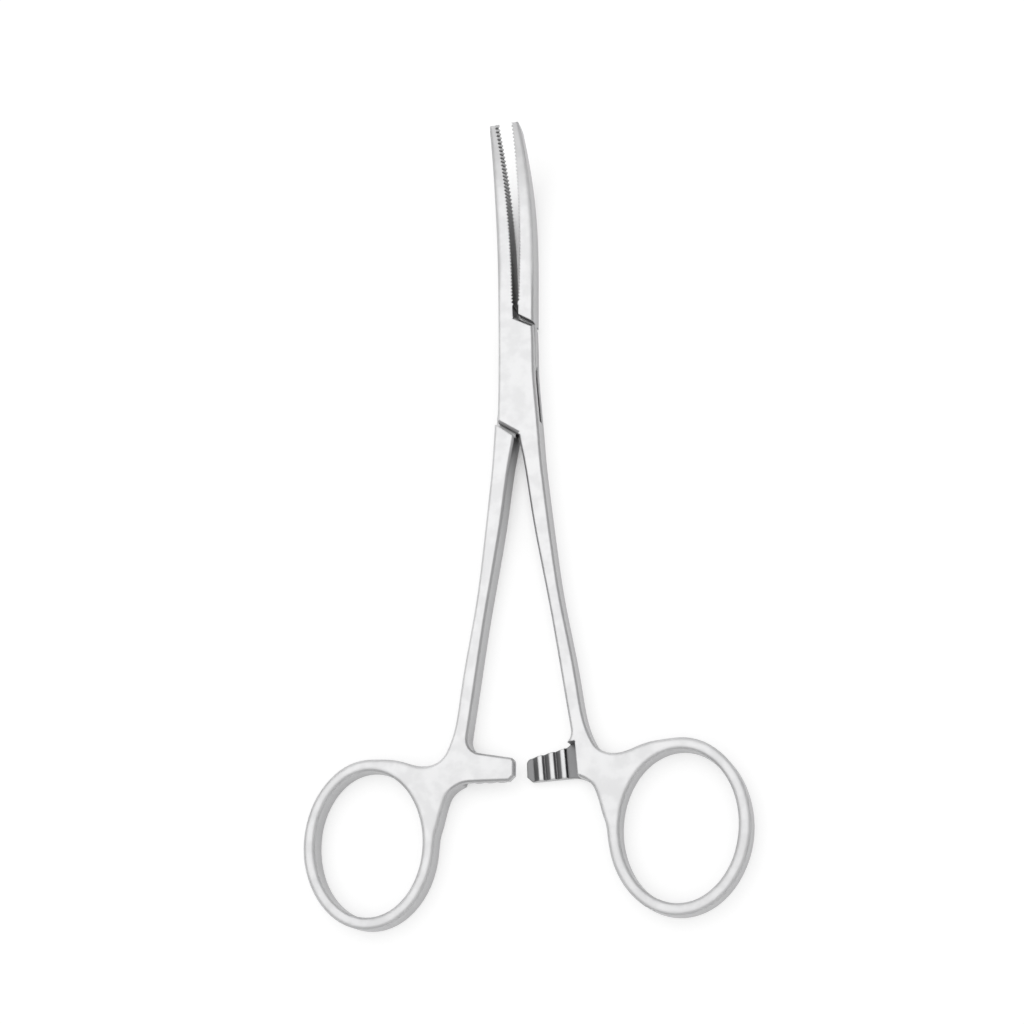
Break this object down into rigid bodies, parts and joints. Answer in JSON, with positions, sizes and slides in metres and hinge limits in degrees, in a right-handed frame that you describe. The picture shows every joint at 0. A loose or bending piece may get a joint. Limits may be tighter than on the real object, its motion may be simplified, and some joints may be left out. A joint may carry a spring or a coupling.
{
  "type": "hemostat forceps",
  "caption": "Curved hemostat forceps in satin stainless steel: serrated jaws, a box lock hinge, finger rings and a ratchet between the shanks.",
  "frame": {"origin": "the hinge axis where it meets the flat back face of the box lock", "axes": "+Z along the hinge axis towards the front, the side the jaws curve to; +Y along the instrument to the jaw tips; +X to the ring of the box half"},
  "size_m": [0.0676, 0.1292, 0.0097],
  "materials": {
    "satin_steel": "fine satin finish on stainless steel"
  },
  "bodies": {
    "box_side": {"box_half": "satin_steel", "hinge_pin": "satin_steel"},
    "tongue_side": {"tongue_half": "satin_steel"}
  },
  "joints": [
    {"name": "box_lock_hinge", "type": "hinge", "parent": "box_side", "child": "tongue_side", "pos_m": [0, 0, 0], "axis": [0, 0, 1], "range_deg": [-56.6, 3.4]}
  ]
}
